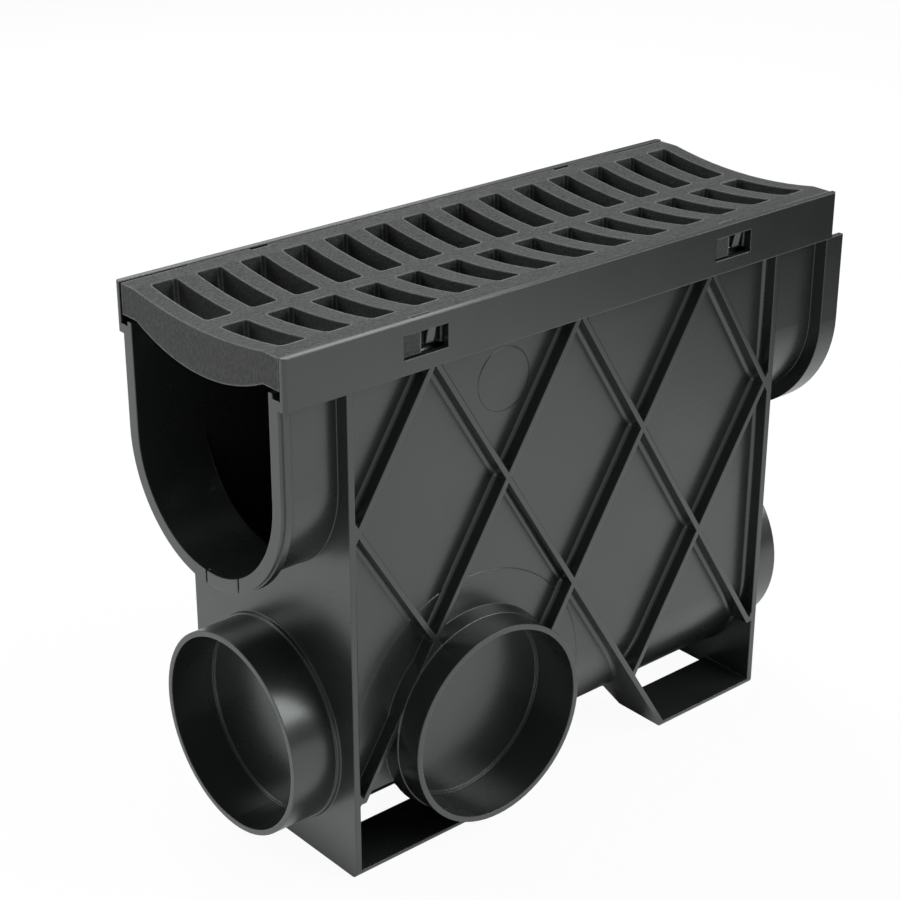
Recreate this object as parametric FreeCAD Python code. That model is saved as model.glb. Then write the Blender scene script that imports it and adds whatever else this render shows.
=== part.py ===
import FreeCAD, Part
import math
import os

# A drainage gully: a moulded sump unit and the dished iron grate that rests in its rails.
# Millimetres. X runs along the channel, Y across it, Z up. The origin is at the bottom centre
# of the whole unit: on the ground between the feet, midway between the two channel ends.

V = FreeCAD.Vector

# Cover rails
HEIGHT = 294.0              # feet to the top of the rails
RAIL_LENGTH = 375.0
RAIL_WIDTH = 136.6          # over both rails
RAIL_HEIGHT = 26.2
RAIL_WALL = 3.4
RAIL_END_CHAMFER = 1.4
WEB_THICKNESS = 3.4         # floor that joins each rail to the channel wall
DRIP_LIP = 1.4              # how far a rail hangs below that floor
SHELF_HEIGHT = 2.4          # channel wall standing above the floor, where the grate rests

# Channel
WALL = 3.0
CHANNEL_WIDTH = 112.0       # clear width, and twice the radius of the half-round invert
CHANNEL_DEPTH = 132.0       # top of the rails to the invert
TONGUE_WIDTH = 127.6        # over the thick rim at the spigot end of the channel
TONGUE_LENGTH = 6.2
TONGUE_STEP = 0.8           # the first stretch of the rim is this much thinner
TONGUE_STEP_LENGTH = 2.0
KEY_SLOTS_Y = (-25.5, 1.4)  # small slots in the rim's lower edge
KEY_SLOT_WIDTH = 1.4
SOCKET_CLEARANCE = 0.4      # all round the next unit's tongue
SOCKET_WALL = 2.9
SOCKET_LENGTH = 13.4
SOCKET_REACH = 9.6          # how far the socket runs past the rails

# Sump
SUMP_LENGTH = 297.2
STUB_LENGTH = 35.8          # channel between the tongue's face and the first end plate
END_PLATE = 3.5
SUMP_AXIS_Z = 67.2          # centre of the half-round bottom
RIB_DEPTH = 7.9
RIB_THICKNESS = 3.0
RIB_RISE = 75.7             # height between two rows of rib crossings
RIB_COLUMNS = 6             # half diamonds along the sump
RIB_BORDER = 5.6            # end plate's outer face to the outermost crossings
RIB_TOP = 2.5               # the top row of crossings lies this far above the rail's edge
RIB_ROOT = 9.0              # how far the ribs reach in behind the side panel
LEAST_POCKET = 60.0         # area of the smallest space left open between ribs and barrel

# Feet
FOOT_DEPTH = 34.0
FOOT_PLATE = 3.8
FOOT_ROUND = 3.4            # radius of the outer bottom corners
GUSSET_SLOPE = 0.54         # how fast a gusset's inner edge runs inwards as it rises

# Outlet spigots
SPIGOT_OD = 110.0
SPIGOT_WALL = 3.0
SPIGOT_AXIS_Z = 66.2
END_SPIGOT_LENGTH = 28.0
SIDE_SPIGOT_LENGTH = 23.7
SIDE_SPIGOT_X = -65.8       # from the middle of the sump
END_COLLAR_LENGTH = 2.0     # low conical collar round the root of an end spigot
END_COLLAR_ROOT = 1.4       # rise above the barrel at the collar's root
END_COLLAR_TIP = 1.0        # and at its tip
SIDE_COLLAR_PAST_RIBS = 0.4
SIDE_COLLAR_ROOT = 2.0
SIDE_COLLAR_TIP = 0.4
KNOCKOUT = 3.0              # thickness of the closing disc
LEDGE_WIDTH = 1.4           # raised ring at the edge of each closing disc
LEDGE_PROUD = 0.8
END_DISC_PROUD = 1.5        # disc of an end spigot, outside its end plate
SIDE_DISC_RECESS = 4.5      # disc of a side spigot, behind the panel's face
PAD_R = 76.5                # flat pad around a side spigot
PAD_PROUD = 0.3
PAD_BOTTOM_Z = 42.0

# Plain moulding mark on the side panel
MARK_X = -45.0              # from the middle of the sump
MARK_DROP = 23.2            # below the rail's lower edge
MARK_R = 16.8
MARK_PROUD = 0.3

# Clip windows in the rails
WINDOW_SPACING = 210.4
WINDOW_LENGTH = 27.0
WINDOW_HEIGHT = 12.2
WINDOW_SILL = 7.7           # above the rail's lower edge
NIB_START = 15.2            # from the window's first edge
NIB_WIDTH = 5.0
NIB_DROP = 8.3
NIB_TIP = 1.9
NIB_REACH = 1.2             # the nib's tip stands this far inside the rail

# Grate
GRATE_SIDE_GAP = 0.5
GRATE_END_GAP = 0.5
GRATE_TOP_DROP = 0.5        # margins of the grate below the top of the rails
EDGE_DEPTH = 16.2           # depth of the casting along its edges
EDGE_DRAFT = 0.5
DISH_WIDTH = 104.0
DISH_SAG = 4.7
BELLY_WIDTH = 103.0
BELLY_SAG = 11.6            # underside of the bars below the edges
SLOTS_PER_ROW = 14
END_BAR = 9.5               # last slot to the end of the casting
SLOT_WIDTH = 15.0
SLOT_LENGTH = 47.4
CENTRE_BAR = 10.6
SLOT_CORNER = 1.6           # each corner of a slot is broken by this much
SLOT_DRAFT = 1.1            # growth of a slot on every side, from top to bottom
PAD_LENGTH = 14.0
PAD_WIDTH = 7.0
PAD_INSET = 1.1             # from the casting's edge
END_RELIEF_LENGTH = 38.7    # the casting is a little narrower at both ends
END_RELIEF = 0.8
PAD_POSITIONS = (-160.0, -55.0, 55.0, 160.0)
LUG_LENGTH = 11.0
LUG_REACH = 1.6             # past the rail's inner face
LUG_MARGIN = 0.7
POCKET_LENGTH = 14.0
POCKET_DEPTH = 4.2
POCKET_LID = 5.0
EDGE_NOTCH_START = 8.0
EDGE_NOTCH_LENGTH = 11.4
EDGE_NOTCH_DEPTH = 2.2

# Heights that follow
RAIL_BOTTOM = HEIGHT - RAIL_HEIGHT
WEB_BOTTOM = RAIL_BOTTOM + DRIP_LIP
WEB_TOP = WEB_BOTTOM + WEB_THICKNESS
SHELF_TOP = WEB_TOP + SHELF_HEIGHT
BORE_R = CHANNEL_WIDTH / 2
SHELL_R = BORE_R + WALL
CHANNEL_AXIS_Z = HEIGHT - CHANNEL_DEPTH + BORE_R
WINDOW_BOTTOM = RAIL_BOTTOM + WINDOW_SILL
WINDOW_TOP = WINDOW_BOTTOM + WINDOW_HEIGHT
LATTICE_TOP = RAIL_BOTTOM + RIB_TOP
GRATE_TOP = HEIGHT - GRATE_TOP_DROP
GRATE_BOTTOM = GRATE_TOP - EDGE_DEPTH
GRATE_LENGTH = RAIL_LENGTH - 2 * GRATE_END_GAP
SLOT_PITCH = (GRATE_LENGTH - 2 * END_BAR - SLOT_WIDTH) / (SLOTS_PER_ROW - 1)

# Places along the channel that follow
UNIT_LENGTH = RAIL_LENGTH + SOCKET_REACH
X_TONGUE = -UNIT_LENGTH / 2
X_RAIL_END = X_TONGUE + RAIL_LENGTH
X_RAIL_MID = X_TONGUE + RAIL_LENGTH / 2
X_GRATE = X_TONGUE + GRATE_END_GAP
X_GRATE_END = X_GRATE + GRATE_LENGTH
X_SOCKET_END = X_RAIL_END + SOCKET_REACH
X_SOCKET = X_SOCKET_END - SOCKET_LENGTH
X_SUMP = X_TONGUE + STUB_LENGTH
X_SUMP_END = X_SUMP + SUMP_LENGTH
X_SUMP_MID = X_SUMP + SUMP_LENGTH / 2
X_SIDE_SPIGOT = X_SUMP_MID + SIDE_SPIGOT_X
X_INNER = X_SUMP + END_PLATE
X_INNER_END = X_SUMP_END - END_PLATE
RIB_PITCH = (SUMP_LENGTH - 2 * RIB_BORDER) / RIB_COLUMNS

# Half widths that follow
Y_RAIL = RAIL_WIDTH / 2
Y_RAIL_INNER = Y_RAIL - RAIL_WALL
Y_RIB = SHELL_R + RIB_DEPTH
SPIGOT_R = SPIGOT_OD / 2
SPIGOT_BORE_R = SPIGOT_R - SPIGOT_WALL
Y_SPIGOT = SHELL_R + SIDE_SPIGOT_LENGTH
SIDE_COLLAR_LENGTH = RIB_DEPTH + SIDE_COLLAR_PAST_RIBS
Y_GRATE = Y_RAIL_INNER - GRATE_SIDE_GAP


def block(x0, x1, y0, y1, z0, z1):
    """Box between two corners."""
    return Part.makeBox(x1 - x0, y1 - y0, z1 - z0, V(x0, y0, z0))


def prism(points, direction):
    """Solid swept from a closed outline."""
    return Part.Face(Part.makePolygon(points + points[:1])).extrude(direction)


def fuse_all(shapes):
    """One solid from many that meet."""
    return shapes[0].fuse(shapes[1:]).removeSplitter()


def trough(radius, axis_z, top_z, x0, x1):
    """Bar of U section: half round below axis_z, straight sides up to top_z."""
    near, far = V(x0, -radius, axis_z), V(x0, radius, axis_z)
    bottom = Part.Arc(near, V(x0, 0, axis_z - radius), far).toShape()
    sides = Part.makePolygon([far, V(x0, radius, top_z), V(x0, -radius, top_z), near])
    face = Part.Face(Part.Wire([bottom] + sides.Edges))
    return face.extrude(V(x1 - x0, 0, 0))


def both_sides(shape):
    """A shape and its mirror image across the channel's middle plane."""
    return [shape, shape.mirror(V(0, 0, 0), V(0, 1, 0))]


def rails():
    """Cover rails with the floor between each rail and the channel wall."""
    bar = block(X_TONGUE, X_RAIL_END, -Y_RAIL, Y_RAIL, RAIL_BOTTOM, HEIGHT)
    corners = [e for e in bar.Edges if abs(e.tangentAt(e.FirstParameter).z) > 0.99]
    bar = bar.makeChamfer(RAIL_END_CHAMFER, corners)
    relief = block(X_TONGUE + TONGUE_LENGTH, X_SOCKET, -Y_RAIL_INNER, -SHELL_R,
                   RAIL_BOTTOM, WEB_BOTTOM)
    return bar.cut(both_sides(relief))


def rail_voids():
    """Space for the grate, and the groove outside each shelf."""
    seat = block(X_TONGUE, X_RAIL_END, -Y_RAIL_INNER, Y_RAIL_INNER, SHELF_TOP, HEIGHT)
    groove = block(X_TONGUE, X_RAIL_END, -Y_RAIL_INNER, -SHELL_R, WEB_TOP, SHELF_TOP)
    return [seat] + both_sides(groove)


def channel_ends():
    """Tongue rim at one end of the channel and the socket at the other."""
    rim_r = TONGUE_WIDTH / 2
    x_step = X_TONGUE + TONGUE_STEP_LENGTH
    nose = trough(rim_r - TONGUE_STEP, CHANNEL_AXIS_Z, RAIL_BOTTOM, X_TONGUE, x_step)
    rim = trough(rim_r, CHANNEL_AXIS_Z, RAIL_BOTTOM, x_step, X_TONGUE + TONGUE_LENGTH)
    socket_r = rim_r + SOCKET_CLEARANCE + SOCKET_WALL
    socket = trough(socket_r, CHANNEL_AXIS_Z, RAIL_BOTTOM, X_SOCKET, X_SOCKET_END)
    return [nose, rim, socket]


def channel_end_voids():
    """Hollow of the socket, and the key slots in the tongue."""
    hollow_r = TONGUE_WIDTH / 2 + SOCKET_CLEARANCE
    hollow = trough(hollow_r, CHANNEL_AXIS_Z, RAIL_BOTTOM, X_SOCKET + SOCKET_WALL, X_SOCKET_END)
    above = block(X_RAIL_END, X_SOCKET_END, -hollow_r, hollow_r, RAIL_BOTTOM, HEIGHT)
    keys = [block(X_TONGUE, X_TONGUE + TONGUE_STEP_LENGTH, y - KEY_SLOT_WIDTH / 2,
                  y + KEY_SLOT_WIDTH / 2, 0, CHANNEL_AXIS_Z) for y in KEY_SLOTS_Y]
    return [hollow, above] + keys


def crossing(column, row):
    """Where two rib centre lines cross, on the plane of the rib faces."""
    return X_SUMP + RIB_BORDER + column * RIB_PITCH, LATTICE_TOP - row * RIB_RISE


def gusset_line(z, side):
    """X of the lowest slanted rib's centre line at height z, where it runs on into a foot."""
    x_top, z_top = crossing(RIB_COLUMNS / 2, 2)
    return x_top + side * (z_top - z) * RIB_PITCH / RIB_RISE


def rib_half_width():
    """Half of a slanted rib's width, measured along X."""
    return RIB_THICKNESS / 2 * math.hypot(RIB_PITCH, RIB_RISE) / RIB_RISE


def diamond(column, row):
    """Face of one open diamond between four ribs."""
    x, z = crossing(column, row)
    dx = RIB_PITCH - rib_half_width()
    dz = RIB_RISE * dx / RIB_PITCH
    points = [V(x, -Y_RIB, z + dz), V(x + dx, -Y_RIB, z), V(x, -Y_RIB, z - dz), V(x - dx, -Y_RIB, z)]
    return Part.Face(Part.makePolygon(points + points[:1]))


def foot_window(side):
    """Face of the open window above a foot, between its gusset and the end plate."""
    z_top = crossing(0, 3)[1]
    x_plate = X_INNER if side < 0 else X_INNER_END
    outline = [V(gusset_line(z, side) + side * rib_half_width(), -Y_RIB, z)
               for z in (z_top, FOOT_PLATE)]
    outline += [V(x_plate, -Y_RIB, FOOT_PLATE), V(x_plate, -Y_RIB, z_top)]
    window = Part.Face(Part.makePolygon(outline + outline[:1]))
    upper = diamond(RIB_COLUMNS / 2 + side * 2, 3)
    return window.fuse(upper).removeSplitter()


def middle_gap():
    """Face of the open space under the sump, between the two gussets."""
    x_top, z_top = crossing(RIB_COLUMNS / 2, 2)
    apex = V(x_top, -Y_RIB, z_top - rib_half_width() * RIB_RISE / RIB_PITCH)
    z_low = -2 * FOOT_PLATE
    feet = [V(gusset_line(z_low, side) - side * rib_half_width(), -Y_RIB, z_low) for side in (-1, 1)]
    return Part.Face(Part.makePolygon([apex] + feet + [apex]))


def rib_pockets():
    """Every space between the ribs of the near side, as prisms."""
    z_low = -2 * FOOT_PLATE
    frame = Part.Face(Part.makePolygon([
        V(X_INNER, -Y_RIB, z_low), V(X_INNER_END, -Y_RIB, z_low),
        V(X_INNER_END, -Y_RIB, WEB_BOTTOM), V(X_INNER, -Y_RIB, WEB_BOTTOM),
        V(X_INNER, -Y_RIB, z_low)]))
    faces = [diamond(column, row) for row in (0, 1, 2)
             for column in range(row % 2, RIB_COLUMNS + 1, 2)]
    faces += [foot_window(-1), foot_window(1), middle_gap()]
    rim = Part.makeCircle(SPIGOT_R + SIDE_COLLAR_TIP, V(X_SIDE_SPIGOT, -Y_RIB, SPIGOT_AXIS_Z), V(0, 1, 0))
    barrel = Part.Face(Part.Wire(rim))
    pockets = []
    for face in faces:
        for space in face.common(frame).cut(barrel).removeSplitter().Faces:
            if space.Area > LEAST_POCKET:
                pockets.append(space.extrude(V(0, RIB_DEPTH + RIB_ROOT, 0)))
    return pockets


def rib_lattice():
    """Diamond ribs of the near side, with the front edges of its feet."""
    slab = block(X_INNER, X_INNER_END, -Y_RIB, -SHELL_R + RIB_ROOT, 0, WEB_BOTTOM)
    return slab.cut(rib_pockets())


def foot(side):
    """Bottom plate of one near foot and the gusset that carries it."""
    x_plate = X_INNER if side < 0 else X_INNER_END
    half = rib_half_width()
    z_top = crossing(0, 3)[1]
    y_inner = -Y_RIB + FOOT_DEPTH
    plate = prism([V(x_plate, -Y_RIB, 0), V(gusset_line(0, side), -Y_RIB, 0),
                   V(gusset_line(FOOT_PLATE, side), -Y_RIB, FOOT_PLATE),
                   V(x_plate, -Y_RIB, FOOT_PLATE)], V(0, FOOT_DEPTH, 0))
    strip = prism([V(gusset_line(0, side) - half, -Y_RIB, 0), V(gusset_line(0, side) + half, -Y_RIB, 0),
                   V(gusset_line(z_top, side) + half, -Y_RIB, z_top),
                   V(gusset_line(z_top, side) - half, -Y_RIB, z_top)], V(0, Y_RIB, 0))
    z_sump = SUMP_AXIS_Z
    profile = [V(X_SUMP, -Y_RIB, 0), V(X_SUMP, y_inner, 0),
               V(X_SUMP, y_inner + GUSSET_SLOPE * z_sump, z_sump), V(X_SUMP, -Y_RIB, z_sump)]
    return [plate, strip.common(prism(profile, V(SUMP_LENGTH, 0, 0)))]


def foot_rounding():
    """What the rounded outer bottom corner takes off along the near side."""
    y_axis = -Y_RIB + FOOT_ROUND
    corner = block(X_SUMP, X_SUMP_END, -Y_RIB, y_axis, 0, FOOT_ROUND)
    return corner.cut(Part.makeCylinder(FOOT_ROUND, SUMP_LENGTH, V(X_SUMP, y_axis, FOOT_ROUND), V(1, 0, 0)))


def collar(base, outward, length, root, tip):
    """Conical collar round a barrel, from a base point on the wall's face."""
    return Part.makeCone(SPIGOT_R + root, SPIGOT_R + tip, length, base, outward)


def mouth(disc_face, outward, length):
    """Bore of a spigot down to its closing disc, with the ledge left round the disc."""
    wide = Part.makeCylinder(SPIGOT_BORE_R, length, disc_face + outward * LEDGE_PROUD, outward)
    return wide.fuse(Part.makeCylinder(SPIGOT_BORE_R - LEDGE_WIDTH, length, disc_face, outward))


def end_spigots():
    """The two barrels on the end plates."""
    barrels = []
    for x_plate, outward in ((X_SUMP, -1), (X_SUMP_END, 1)):
        base, axis = V(x_plate, 0, SPIGOT_AXIS_Z), V(outward, 0, 0)
        barrels.append(Part.makeCylinder(SPIGOT_R, END_SPIGOT_LENGTH, base, axis))
        barrels.append(collar(base, axis, END_COLLAR_LENGTH, END_COLLAR_ROOT, END_COLLAR_TIP))
    return barrels


def end_spigot_bores():
    """Bores of the end spigots on both sides of their closing discs."""
    bores = []
    for x_plate, outward in ((X_SUMP, -1), (X_SUMP_END, 1)):
        axis = V(outward, 0, 0)
        disc_face = V(x_plate + outward * END_DISC_PROUD, 0, SPIGOT_AXIS_Z)
        bores.append(mouth(disc_face, axis, END_SPIGOT_LENGTH))
        bores.append(Part.makeCylinder(SPIGOT_BORE_R, END_PLATE, disc_face - axis * KNOCKOUT, -axis))
    return bores


def side_spigot():
    """Near side barrel, run inwards until the half-round bottom closes it, on its flat pad."""
    centre = V(X_SIDE_SPIGOT, -SHELL_R, SPIGOT_AXIS_Z)
    barrel = Part.makeCylinder(SPIGOT_R, Y_SPIGOT, V(X_SIDE_SPIGOT, 0, SPIGOT_AXIS_Z), V(0, -1, 0))
    ring = collar(centre, V(0, -1, 0), SIDE_COLLAR_LENGTH, SIDE_COLLAR_ROOT, SIDE_COLLAR_TIP)
    pad = Part.makeCylinder(PAD_R, RIB_ROOT + PAD_PROUD, centre - V(0, PAD_PROUD, 0), V(0, 1, 0))
    below = block(centre.x - PAD_R, centre.x + PAD_R, -Y_RIB, 0, centre.z - PAD_R, PAD_BOTTOM_Z)
    return [barrel, ring, pad.cut(below)]


def side_spigot_bore():
    """Passage of the near side spigot into the sump."""
    start = V(X_SIDE_SPIGOT, -Y_SPIGOT, SPIGOT_AXIS_Z)
    return Part.makeCylinder(SPIGOT_BORE_R, Y_SPIGOT, start, V(0, 1, 0))


def side_knockout():
    """Closing disc of the near side spigot, in a short collar behind the panel."""
    root = V(X_SIDE_SPIGOT, -SHELL_R, SPIGOT_AXIS_Z)
    plug = Part.makeCylinder(SPIGOT_R, SIDE_DISC_RECESS + KNOCKOUT, root, V(0, 1, 0))
    return plug.cut(mouth(root + V(0, SIDE_DISC_RECESS, 0), V(0, -1, 0), SIDE_DISC_RECESS))


def moulding_mark():
    """Plain raised roundel on the near side panel, between the ribs."""
    centre = V(X_SUMP_MID + MARK_X, -SHELL_R - MARK_PROUD, RAIL_BOTTOM - MARK_DROP)
    return Part.makeCylinder(MARK_R, MARK_PROUD + WALL / 2, centre, V(0, 1, 0))


def window_starts():
    """X of the first edge of each clip window."""
    return [X_RAIL_MID + side * WINDOW_SPACING / 2 - WINDOW_LENGTH / 2 for side in (-1, 1)]


def clip_windows():
    """Openings through the near rail."""
    return [block(x, x + WINDOW_LENGTH, -Y_RAIL, -Y_RAIL_INNER, WINDOW_BOTTOM, WINDOW_TOP)
            for x in window_starts()]


def snap_nibs():
    """Wedge that hangs from the head of each near window and leans into the grate's pocket."""
    y_tip = -Y_RAIL_INNER + NIB_REACH
    z_tip = WINDOW_TOP - NIB_DROP
    nibs = []
    for x in window_starts():
        x_nib = x + NIB_START
        outline = [V(x_nib, -Y_RAIL + RAIL_WALL / 5, WINDOW_TOP), V(x_nib, y_tip - NIB_TIP, z_tip),
                   V(x_nib, y_tip, z_tip), V(x_nib, -Y_RAIL_INNER, WINDOW_TOP)]
        nibs.append(prism(outline, V(NIB_WIDTH, 0, 0)))
    return nibs


def sump_body():
    """The whole moulding."""
    near = [rib_lattice()] + foot(-1) + foot(1) + side_spigot()
    outer = [rails(), trough(SHELL_R, CHANNEL_AXIS_Z, WEB_BOTTOM, X_TONGUE, X_SOCKET + SOCKET_WALL),
             trough(SHELL_R, SUMP_AXIS_Z, WEB_BOTTOM, X_SUMP, X_SUMP_END),
             block(X_SUMP, X_INNER, -Y_RIB, Y_RIB, 0, WEB_BOTTOM),
             block(X_INNER_END, X_SUMP_END, -Y_RIB, Y_RIB, 0, WEB_BOTTOM)]
    outer += channel_ends() + end_spigots()
    for shape in near:
        outer += both_sides(shape)
    body = fuse_all(outer)

    voids = [trough(BORE_R, CHANNEL_AXIS_Z, HEIGHT, X_TONGUE, X_SOCKET_END),
             trough(BORE_R, SUMP_AXIS_Z, HEIGHT, X_INNER, X_INNER_END)]
    voids += rail_voids() + channel_end_voids() + end_spigot_bores() + both_sides(side_spigot_bore())
    for opening in clip_windows() + [foot_rounding()]:
        voids += both_sides(opening)
    body = body.cut(voids)

    added = both_sides(side_knockout()) + [moulding_mark()]
    for nib in snap_nibs():
        added += both_sides(nib)
    return body.fuse(added).removeSplitter()


def grate_section():
    """Cross section of the casting: dished on top, deeper towards the middle below."""
    x = X_GRATE
    y_low = Y_GRATE - EDGE_DRAFT
    top = Part.Arc(V(x, -DISH_WIDTH / 2, GRATE_TOP), V(x, 0, GRATE_TOP - DISH_SAG),
                   V(x, DISH_WIDTH / 2, GRATE_TOP)).toShape()
    belly = Part.Arc(V(x, BELLY_WIDTH / 2, GRATE_BOTTOM), V(x, 0, GRATE_BOTTOM - BELLY_SAG),
                     V(x, -BELLY_WIDTH / 2, GRATE_BOTTOM)).toShape()
    right = Part.makePolygon([V(x, DISH_WIDTH / 2, GRATE_TOP), V(x, Y_GRATE, GRATE_TOP),
                              V(x, y_low, GRATE_BOTTOM), V(x, BELLY_WIDTH / 2, GRATE_BOTTOM)])
    left = Part.makePolygon([V(x, -BELLY_WIDTH / 2, GRATE_BOTTOM), V(x, -y_low, GRATE_BOTTOM),
                             V(x, -Y_GRATE, GRATE_TOP), V(x, -DISH_WIDTH / 2, GRATE_TOP)])
    return Part.Face(Part.Wire([top] + right.Edges + [belly] + left.Edges))


def grate_slot(x, y):
    """Tool for one slot, which widens downwards as a cast slot does."""
    z_top, z_low = GRATE_TOP + SLOT_DRAFT, GRATE_BOTTOM - BELLY_SAG - SLOT_DRAFT
    dx, dy = SLOT_WIDTH / 2, SLOT_LENGTH / 2
    wide_x, wide_y = dx + SLOT_DRAFT, dy + SLOT_DRAFT
    wedge = Part.makeWedge(-wide_x, z_low, -wide_y, -dy, -dx, wide_x, z_top, wide_y, dy, dx)
    wedge.rotate(V(0, 0, 0), V(1, 0, 0), 90)
    wedge.translate(V(x, y, 0))
    corners = [e for e in wedge.Edges if abs(e.tangentAt(e.FirstParameter).z) > 0.9]
    return wedge.makeChamfer(SLOT_CORNER, corners)


def grate_slots():
    """Both rows of slots."""
    first = X_RAIL_MID - (SLOTS_PER_ROW - 1) * SLOT_PITCH / 2
    y_row = CENTRE_BAR / 2 + SLOT_LENGTH / 2
    return [grate_slot(first + n * SLOT_PITCH, y) for n in range(SLOTS_PER_ROW) for y in (-y_row, y_row)]


def seating_pads():
    """Pads under the near edge, which rest on the shelf."""
    y_outer = -Y_GRATE + PAD_INSET
    return [block(X_RAIL_MID + x - PAD_LENGTH / 2, X_RAIL_MID + x + PAD_LENGTH / 2,
                  y_outer, y_outer + PAD_WIDTH, SHELF_TOP, GRATE_BOTTOM + EDGE_DRAFT)
            for x in PAD_POSITIONS]


def edge_lugs():
    """Lugs on the near edge that stand in the clip windows."""
    y_face = -Y_RAIL_INNER - LUG_REACH
    return [block(x + LUG_MARGIN, x + LUG_MARGIN + LUG_LENGTH, y_face, -Y_GRATE + POCKET_DEPTH,
                  WINDOW_BOTTOM + LUG_MARGIN, WINDOW_TOP - LUG_MARGIN)
            for x in window_starts()]


def edge_cuts():
    """Pockets for the near nibs with the notches that open them at the top, and the end reliefs."""
    cuts = [block(x, x + END_RELIEF_LENGTH, -Y_RAIL, -Y_GRATE + END_RELIEF, GRATE_BOTTOM, GRATE_TOP)
            for x in (X_GRATE, X_GRATE_END - END_RELIEF_LENGTH)]
    for x in window_starts():
        x_pocket = x + LUG_MARGIN + LUG_LENGTH
        cuts.append(block(x_pocket, x_pocket + POCKET_LENGTH, -Y_RAIL, -Y_GRATE + POCKET_DEPTH,
                          GRATE_BOTTOM, GRATE_TOP - POCKET_LID))
        x_notch = x + EDGE_NOTCH_START
        cuts.append(block(x_notch, x_notch + EDGE_NOTCH_LENGTH, -Y_RAIL, -Y_GRATE + EDGE_NOTCH_DEPTH,
                          GRATE_TOP - POCKET_LID, GRATE_TOP))
    return cuts


def grate():
    """The iron casting."""
    plate = grate_section().extrude(V(GRATE_LENGTH, 0, 0))
    plate = plate.cut(grate_slots())
    for cut in edge_cuts():
        plate = plate.cut(both_sides(cut))
    added = []
    for shape in seating_pads() + edge_lugs():
        added += both_sides(shape)
    return plate.fuse(added).removeSplitter()


os.makedirs("parts", exist_ok=True)
for name, shape in (("sump_body", sump_body()), ("grate", grate())):
    print(name, "valid", shape.isValid(), "solids", len(shape.Solids),
          "volume", round(shape.Volume), "box", shape.BoundBox)
    shape.exportStep("parts/" + name + ".step")
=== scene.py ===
"""The looks of the drainage gully: satin black moulding, rough cast-iron grate, studio and camera."""

import math

import bmesh
import bpy
from mathutils import Matrix, Vector


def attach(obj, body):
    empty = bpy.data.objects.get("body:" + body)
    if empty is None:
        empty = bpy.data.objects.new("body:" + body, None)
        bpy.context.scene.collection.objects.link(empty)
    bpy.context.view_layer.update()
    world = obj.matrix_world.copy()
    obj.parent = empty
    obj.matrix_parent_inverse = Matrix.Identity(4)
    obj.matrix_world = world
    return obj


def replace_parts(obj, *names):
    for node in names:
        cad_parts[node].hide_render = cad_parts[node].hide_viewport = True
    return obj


# Camera, in metres and degrees in the part's frame
CAMERA_PLACE = Vector((-0.6949, -0.7638, 0.6415))
CAMERA_YAW = 49.247
CAMERA_PITCH = -24.552
CAMERA_ROLL = 0.085
LENS_MM = 84.02
SENSOR_MM = 36.0

# The sump's shell, end plates and side spigots, in metres, where the ribs' fillets are found
SHELL_R = 0.059
SHELL_AXIS_Z = 0.0672
PLATE_FACES_X = (-0.1530, 0.1372)
SPIGOT_X = -0.0737
SPIGOT_Z = 0.0662
CLEAR_OF_SPIGOT = 0.0575
PAD_PROUD = 0.0004     # the pad round a side spigot stands less than this off the shell
WALL_RISE = 0.0050     # and the walls of ribs and end plates rise more than this
WELD = 0.000002
FLAT_ANGLE = 0.2       # degrees between faces that count as one flat face
STRAIGHT_ACROSS = 0.99  # least share of Y in the direction of a corner between two ribs

# Rounding, in metres
ROOT_R = 0.0024
CORNER_R = 0.0012
FILLET_STEPS = 5
EDGE_R = 0.0009
IRON_EDGE_R = 0.0014
EDGE_SAMPLES = 6

# Solid noise: waves per metre, detail and roughness; its middle band is stretched to full range
NOISE_BAND = (0.3, 0.7)
PLASTIC_FLOW = (22, 4, 0.6)
PLASTIC_WAVES = (18, 1, 0.4)
IRON_SPECKLE = (560, 6, 0.7)
IRON_PITS = (620, 5, 0.65)

# Black plastic; colours are linear values
BLACK_PLASTIC = (0.0145, 0.0160, 0.0155, 1)
PLASTIC_SHEEN = (0.93, 1.0, 0.98, 1)
PLASTIC_IOR = 1.75
PLASTIC_ROUGHNESS = (0.24, 0.32)
WAVE_STRENGTH = 0.4
WAVE_HEIGHT = 0.0010

# Cast iron: shares of the light colour on walls (less, as painted shade), scuffed tops, and rubbed edges
# that are partly wear and partly a painted highlight
IRON_DARK = (0.014, 0.0148, 0.015, 1)
IRON_LIGHT = (0.225, 0.235, 0.238, 1)
IRON_METALLIC = 0.2
IRON_ROUGHNESS = (0.62, 0.46)
IRON_WALL_PAINTED_SHADE = 0.45
IRON_SCUFFS = 0.42
SCUFF_RANGE = (0.15, 0.85)
IRON_RUB_AND_HIGHLIGHT = 3.0
LEAST_RUB_AND_HIGHLIGHT = 0.4
RUB_AND_HIGHLIGHT_COSINES = (0.998, 0.90)  # turn of the rounded normal where rubbing and painted highlight start and are full
TOP_COSINES = (0.2, 0.9)        # slope of the normal where a wall ends and a top begins
PIT_STRENGTH = 0.8
PIT_DEPTH = 0.0011

# Studio: white paper, darkened to the right of the part by painted shade for all but camera rays, in
# metres, with a shade under the part
PAPER = (0.90, 0.90, 0.90, 1)
WHITE = (1, 1, 1, 1)
# painted shade: the floor's colour beyond the fade, seen in gloss and bounced light but not by the camera
PAINTED_FLOOR_SHADE = (0.06, 0.06, 0.06, 1)
PAINTED_SHADE_START = 0.30
PAINTED_SHADE_END = 0.78
SHADE_HALF_X = 0.16
SHADE_HALF_Y = 0.07
SHADE_EDGE = 0.02
FLOOR_SIZE = 12.0
FLOOR_GLOW = 0.95
WORLD_STRENGTH = 0.34

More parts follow.
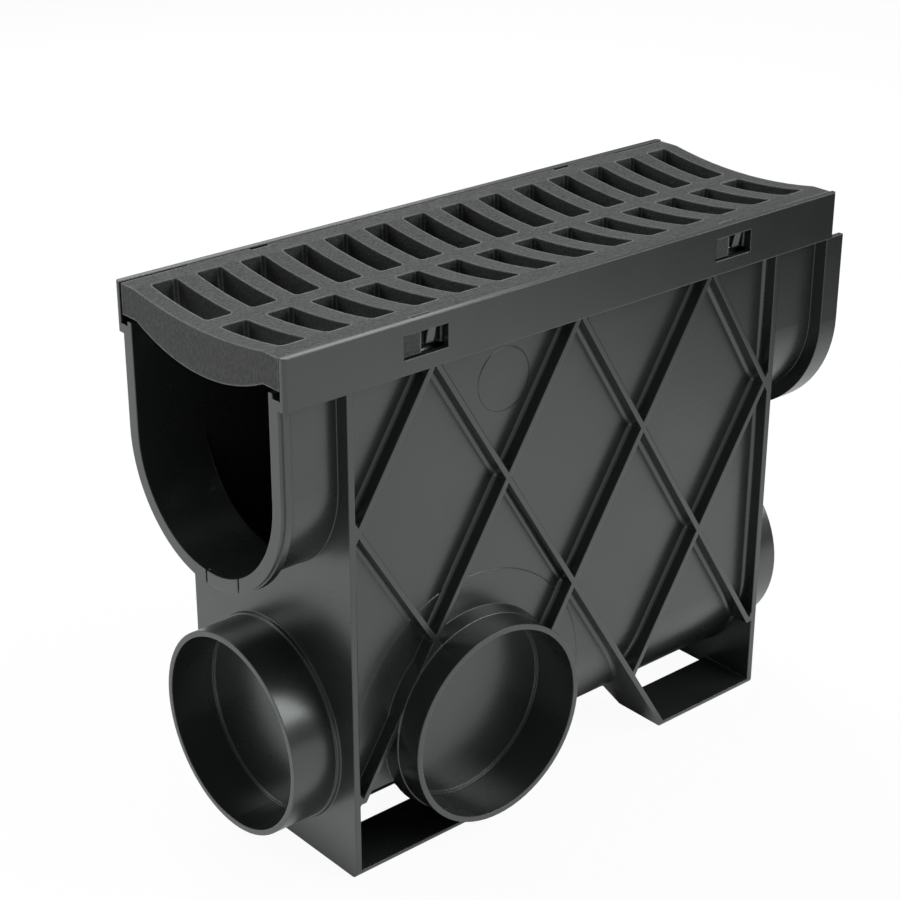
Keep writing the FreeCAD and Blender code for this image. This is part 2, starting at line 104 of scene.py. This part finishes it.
# Soft boxes: name, place, target, width and height in metres, power in watts, seen in gloss or not
LAMPS = (
    ("key", (0.90, -1.25, 1.20), (0, 0, 0.15), 1.7, 1.0, 24, True),
    ("rim", (-1.05, 1.15, 1.10), (0, 0, 0.15), 0.8, 0.8, 8, True),
    ("back", (0.40, 1.39, 0.97), (0, 0, 0.25), 1.0, 0.8, 20, False),
    ("edge", (0.58, 1.19, 1.17), (0, 0, 0.28), 0.8, 0.8, 4, True),
)


def empty_material(name):
    """Node material with its output and no shader yet."""
    material = bpy.data.materials.new(name)
    material.use_nodes = True
    nodes, links = material.node_tree.nodes, material.node_tree.links
    nodes.clear()
    return material, nodes, links, nodes.new("ShaderNodeOutputMaterial")


def principled_material(name):
    """Node material with its output and a Principled shader."""
    material, nodes, links, output = empty_material(name)
    shader = nodes.new("ShaderNodeBsdfPrincipled")
    links.new(shader.outputs["BSDF"], output.inputs["Surface"])
    return material, nodes, links, shader


def object_place(nodes):
    """Place in the part's own frame."""
    return nodes.new("ShaderNodeTexCoord").outputs["Object"]


def noise(nodes, links, scale, detail, roughness):
    """Solid noise in the part's own frame; scale is in waves per metre."""
    texture = nodes.new("ShaderNodeTexNoise")
    texture.inputs["Scale"].default_value = scale
    texture.inputs["Detail"].default_value = detail
    texture.inputs["Roughness"].default_value = roughness
    links.new(object_place(nodes), texture.inputs["Vector"])
    return texture.outputs["Fac"]


def ramp(nodes, links, value, start, end, low=0.0, high=1.0, smooth=False):
    """A value mapped from one range onto another and held at its ends."""
    node = nodes.new("ShaderNodeMapRange")
    if smooth:
        node.interpolation_type = "SMOOTHSTEP"
    for name, number in (("From Min", start), ("From Max", end), ("To Min", low), ("To Max", high)):
        node.inputs[name].default_value = number
    links.new(value, node.inputs["Value"])
    return node.outputs["Result"]


def spread(nodes, links, value, low, high):
    """A noise value stretched to run from low to high."""
    return ramp(nodes, links, value, *NOISE_BAND, low, high)


def blend(nodes, links, factor, first, second):
    """Colour between two others, each a constant or a socket."""
    node = nodes.new("ShaderNodeMix")
    node.data_type = "RGBA"
    links.new(factor, node.inputs["Factor"])
    for name, colour in (("A", first), ("B", second)):
        if isinstance(colour, tuple):
            node.inputs[name].default_value = colour
        else:
            links.new(colour, node.inputs[name])
    return node.outputs["Result"]


def math_node(nodes, links, operation, first, second=None):
    """Result of a math node on a socket and another socket or a number."""
    node = nodes.new("ShaderNodeMath")
    node.operation = operation
    links.new(first, node.inputs[0])
    if isinstance(second, float):
        node.inputs[1].default_value = second
    elif second:
        links.new(second, node.inputs[1])
    return node.outputs["Value"]


def beyond(nodes, links, value, half):
    """How far a coordinate lies outside a band around zero."""
    return math_node(nodes, links, "SUBTRACT", math_node(nodes, links, "ABSOLUTE", value), half)


def separated(nodes, links, vector):
    """A vector's X, Y and Z as sockets by name."""
    node = nodes.new("ShaderNodeSeparateXYZ")
    links.new(vector, node.inputs["Vector"])
    return node.outputs


def rounded_normal(nodes, radius):
    """Normal of the surface as if its sharp edges had a radius."""
    node = nodes.new("ShaderNodeBevel")
    node.samples = EDGE_SAMPLES
    node.inputs["Radius"].default_value = radius
    return node.outputs["Normal"]


def bumped_normal(nodes, links, normal, height, strength, distance):
    """A normal disturbed by a height pattern."""
    node = nodes.new("ShaderNodeBump")
    node.inputs["Strength"].default_value = strength
    node.inputs["Distance"].default_value = distance
    links.new(height, node.inputs["Height"])
    links.new(normal, node.inputs["Normal"])
    return node.outputs["Normal"]


def plastic_material():
    """Black polymer: satin, with softly rounded edges and slightly uneven faces."""
    material, nodes, links, shader = principled_material("moulded_black_polymer")
    shader.inputs["Base Color"].default_value = BLACK_PLASTIC
    shader.inputs["Specular Tint"].default_value = PLASTIC_SHEEN
    shader.inputs["IOR"].default_value = PLASTIC_IOR
    flow = noise(nodes, links, *PLASTIC_FLOW)
    links.new(spread(nodes, links, flow, *PLASTIC_ROUGHNESS), shader.inputs["Roughness"])
    edges = rounded_normal(nodes, EDGE_R)
    waves = noise(nodes, links, *PLASTIC_WAVES)
    links.new(bumped_normal(nodes, links, edges, waves, WAVE_STRENGTH, WAVE_HEIGHT),
              shader.inputs["Normal"])
    return material


def iron_material():
    """Sand-cast iron: dark and pitted; scuffed grey tops, walls darker as painted shade, edges lighter
    from rubbing and a painted highlight.
    """
    material, nodes, links, shader = principled_material("cast_iron_skin")
    shader.inputs["Metallic"].default_value = IRON_METALLIC
    surface = nodes.new("ShaderNodeNewGeometry").outputs["Normal"]
    edges = rounded_normal(nodes, IRON_EDGE_R)
    turn = nodes.new("ShaderNodeVectorMath")
    turn.operation = "DOT_PRODUCT"
    links.new(edges, turn.inputs[0])
    links.new(surface, turn.inputs[1])
    # lighter edges: partly real rubbing, partly a painted highlight where the rounded normal turns from
    # the face's own
    near_edge = ramp(nodes, links, turn.outputs["Value"], *RUB_AND_HIGHLIGHT_COSINES)
    # painted shade: walls and sloping faces get a smaller share of the light colour than tops
    tops = ramp(nodes, links, separated(nodes, links, surface)["Z"], *TOP_COSINES, low=IRON_WALL_PAINTED_SHADE)
    speckle = noise(nodes, links, *IRON_SPECKLE)
    scuffed = spread(nodes, links, speckle, *(share * IRON_SCUFFS for share in SCUFF_RANGE))
    rub_and_highlight = spread(nodes, links, speckle, LEAST_RUB_AND_HIGHLIGHT * IRON_RUB_AND_HIGHLIGHT, IRON_RUB_AND_HIGHLIGHT)
    wear_and_highlight = math_node(nodes, links, "ADD", scuffed, math_node(nodes, links, "MULTIPLY", near_edge, rub_and_highlight))
    lightness = math_node(nodes, links, "MULTIPLY", wear_and_highlight, tops)
    links.new(blend(nodes, links, lightness, IRON_DARK, IRON_LIGHT), shader.inputs["Base Color"])
    links.new(spread(nodes, links, speckle, *IRON_ROUGHNESS), shader.inputs["Roughness"])
    pits = noise(nodes, links, *IRON_PITS)
    links.new(bumped_normal(nodes, links, edges, pits, PIT_STRENGTH, PIT_DEPTH), shader.inputs["Normal"])
    return material


def floor_material():
    """White paper that fades into painted shade on the right for all but camera rays; to the camera it
    mostly glows, and in gloss it glows as a painted reflection outside the box under the part.
    """
    material, nodes, links, output = empty_material("pale_floor")
    axes = separated(nodes, links, object_place(nodes))
    path = nodes.new("ShaderNodeLightPath").outputs
    camera = path["Is Camera Ray"]
    painted_falloff = ramp(nodes, links, axes["X"], PAINTED_SHADE_START, PAINTED_SHADE_END, smooth=True)
    paper = nodes.new("ShaderNodeBsdfDiffuse")
    links.new(blend(nodes, links, camera, blend(nodes, links, painted_falloff, PAPER, PAINTED_FLOOR_SHADE), PAPER),
              paper.inputs["Color"])
    # painted reflection: in gloss the floor glows, fading to painted shade, except in the box under the
    # part where the lit paper shows
    glow = nodes.new("ShaderNodeEmission")
    links.new(blend(nodes, links, camera, blend(nodes, links, painted_falloff, WHITE, PAINTED_FLOOR_SHADE), WHITE),
              glow.inputs["Color"])
    aside = math_node(nodes, links, "MAXIMUM", beyond(nodes, links, axes["X"], SHADE_HALF_X),
                      beyond(nodes, links, axes["Y"], SHADE_HALF_Y))
    clear = ramp(nodes, links, aside, -SHADE_EDGE, SHADE_EDGE)
    mirrored = math_node(nodes, links, "MULTIPLY", path["Is Glossy Ray"], clear)
    shown = math_node(nodes, links, "MAXIMUM", camera, mirrored)
    mix = nodes.new("ShaderNodeMixShader")
    links.new(math_node(nodes, links, "MULTIPLY", shown, FLOOR_GLOW), mix.inputs["Fac"])
    links.new(paper.outputs["BSDF"], mix.inputs[1])
    links.new(glow.outputs["Emission"], mix.inputs[2])
    links.new(mix.outputs["Shader"], output.inputs["Surface"])
    return material


def welded(node):
    """The node's own mesh as a welded working copy with its flat faces joined up."""
    work = bmesh.new()
    work.from_mesh(node.data)
    bmesh.ops.remove_doubles(work, verts=work.verts, dist=WELD)
    bmesh.ops.dissolve_limit(work, angle_limit=math.radians(FLAT_ANGLE), verts=work.verts,
                             edges=work.edges, delimit=set())
    work.normal_update()
    return work


def add_piece(name, mesh, material):
    """Object for a finished mesh, carried by the unit's one body."""
    mesh.materials.clear()
    mesh.materials.append(material)
    piece = bpy.data.objects.new(name, mesh)
    bpy.context.scene.collection.objects.link(piece)
    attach(piece, "root")
    return piece


def own_form(node, name, material):
    """The node's own form and normals in a new material, standing for the node."""
    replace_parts(add_piece(name, node.data.copy(), material), node.name)


def shell_gap(point):
    """How far a point stands off the outer face of the sump's shell."""
    return math.hypot(point.y, min(point.z - SHELL_AXIS_Z, 0)) - SHELL_R


def on_shell(face):
    """Whether a face lies on the shell or on the pad round a side spigot."""
    return all(-WELD < shell_gap(v.co) < PAD_PROUD for v in face.verts)


def between_plates(edge):
    """Whether an edge lies between the end plates and isn't all inside a side spigot's collar."""
    middle = (edge.verts[0].co + edge.verts[1].co) / 2
    inside = PLATE_FACES_X[0] - WELD < middle.x < PLATE_FACES_X[1] + WELD
    reach = max(math.hypot(v.co.x - SPIGOT_X, v.co.z - SPIGOT_Z) for v in edge.verts)
    return inside and reach > CLEAR_OF_SPIGOT


def fillet_radius(edge):
    """Radius of the fillet along an inner edge of the ribs, or 0 where there is none."""
    if edge.is_convex or len(edge.link_faces) != 2 or not between_plates(edge):
        return 0
    rises = [max(shell_gap(v.co) for v in face.verts) for face in edge.link_faces]
    if min(shell_gap(v.co) for v in edge.verts) < -WELD or max(rises) < WALL_RISE:
        return 0
    if any(on_shell(face) for face in edge.link_faces):
        return ROOT_R
    along = (edge.verts[1].co - edge.verts[0].co).normalized()
    return CORNER_R if abs(along.y) > STRAIGHT_ACROSS else 0


def inward(face, edge):
    """Direction in a face that leads away from one of its edges."""
    loop = next(loop for loop in face.loops if loop.edge == edge)
    along = loop.link_loop_next.vert.co - loop.vert.co
    return face.normal.cross(along).normalized()


def add_fillet(out, normals, edge, radius):
    """Hollow strip of the given radius in the corner along an inner edge, with its vertex normals."""
    first, second = (inward(face, edge) for face in edge.link_faces)
    half = first.angle(second) / 2
    centre = (first + second).normalized() * (radius / math.sin(half))
    reach = radius / math.tan(half)
    start, end = (first * reach - centre).normalized(), (second * reach - centre).normalized()
    profile = [centre + start.slerp(end, n / FILLET_STEPS) * radius for n in range(FILLET_STEPS + 1)]
    rows = [[out.verts.new(v.co + point) for point in profile] for v in edge.verts]
    normals.extend(2 * [(centre - point).normalized() for point in profile])
    for n in range(FILLET_STEPS):
        face = out.faces.new((rows[0][n], rows[0][n + 1], rows[1][n + 1], rows[1][n]))
        face.normal_update()
        if face.normal.dot(centre) < 0:
            face.normal_flip()


def rib_fillets(node, material):
    """Root fillets of the ribs and of the end plates, and the small ones in the ribs' corners."""
    work = welded(node)
    out = bmesh.new()
    normals = []
    for edge in work.edges:
        radius = fillet_radius(edge)
        if radius:
            add_fillet(out, normals, edge, radius)
    mesh = bpy.data.meshes.new("rib_fillets")
    out.to_mesh(mesh)
    out.free()
    work.free()
    mesh.normals_split_custom_set_from_vertices(normals)
    add_piece("rib_fillets", mesh, material)


def make_camera():
    """Camera at the photograph's viewing angle."""
    yaw, pitch, roll = (math.radians(a) for a in (CAMERA_YAW, CAMERA_PITCH, CAMERA_ROLL))
    forward = Vector((math.cos(pitch) * math.cos(yaw), math.cos(pitch) * math.sin(yaw), math.sin(pitch)))
    right = forward.cross(Vector((0, 0, 1))).normalized()
    up = right.cross(forward)
    side = right * math.cos(roll) + up * math.sin(roll)
    top = up * math.cos(roll) - right * math.sin(roll)
    data = bpy.data.cameras.new("camera")
    data.lens = LENS_MM
    data.sensor_width = SENSOR_MM
    camera = bpy.data.objects.new("camera", data)
    camera.matrix_world = Matrix((side, top, -forward)).transposed().to_4x4()
    camera.location = CAMERA_PLACE
    bpy.context.scene.collection.objects.link(camera)
    bpy.context.scene.camera = camera


def make_floor():
    """Large plain floor under the feet."""
    mesh = bpy.data.meshes.new("floor")
    half = FLOOR_SIZE / 2
    mesh.from_pydata([(-half, -half, 0), (half, -half, 0), (half, half, 0), (-half, half, 0)], [],
                     [(0, 1, 2, 3)])
    mesh.materials.append(floor_material())
    floor = bpy.data.objects.new("floor", mesh)
    bpy.context.scene.collection.objects.link(floor)


def make_lamp(name, place, target, width, height, power, mirrored):
    """Soft box aimed at a point, mirrored in glossy faces or not."""
    data = bpy.data.lights.new(name, "AREA")
    data.shape = "RECTANGLE"
    data.size = width
    data.size_y = height
    data.energy = power
    lamp = bpy.data.objects.new(name, data)
    lamp.visible_glossy = mirrored
    lamp.location = place
    lamp.rotation_euler = (Vector(target) - Vector(place)).to_track_quat("-Z", "Y").to_euler()
    bpy.context.scene.collection.objects.link(lamp)


def make_world():
    """Even pale surroundings that the camera sees as white."""
    world = bpy.data.worlds.new("studio")
    bpy.context.scene.world = world
    world.use_nodes = True
    nodes, links = world.node_tree.nodes, world.node_tree.links
    nodes.clear()
    output = nodes.new("ShaderNodeOutputWorld")
    mix = nodes.new("ShaderNodeMixShader")
    path = nodes.new("ShaderNodeLightPath")
    links.new(path.outputs["Is Camera Ray"], mix.inputs["Fac"])
    for slot, strength in ((1, WORLD_STRENGTH), (2, 1.0)):
        background = nodes.new("ShaderNodeBackground")
        background.inputs["Color"].default_value = WHITE
        background.inputs["Strength"].default_value = strength
        links.new(background.outputs["Background"], mix.inputs[slot])
    links.new(mix.outputs["Shader"], output.inputs["Surface"])


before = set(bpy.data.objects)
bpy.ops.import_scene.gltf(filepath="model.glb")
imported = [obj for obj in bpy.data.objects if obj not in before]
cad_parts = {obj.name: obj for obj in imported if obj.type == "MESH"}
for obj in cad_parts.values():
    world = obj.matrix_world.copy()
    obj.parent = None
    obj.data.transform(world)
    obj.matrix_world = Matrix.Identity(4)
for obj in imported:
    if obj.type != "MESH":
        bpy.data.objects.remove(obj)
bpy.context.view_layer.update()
bpy.context.scene.view_settings.view_transform = "Standard"

make_camera()
make_world()
make_floor()
for lamp in LAMPS:
    make_lamp(*lamp)

moulding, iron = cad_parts["sump_body"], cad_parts["grate"]
plastic = plastic_material()
own_form(moulding, "moulded_body", plastic)
rib_fillets(moulding, plastic)
own_form(iron, "cast_grate", iron_material())
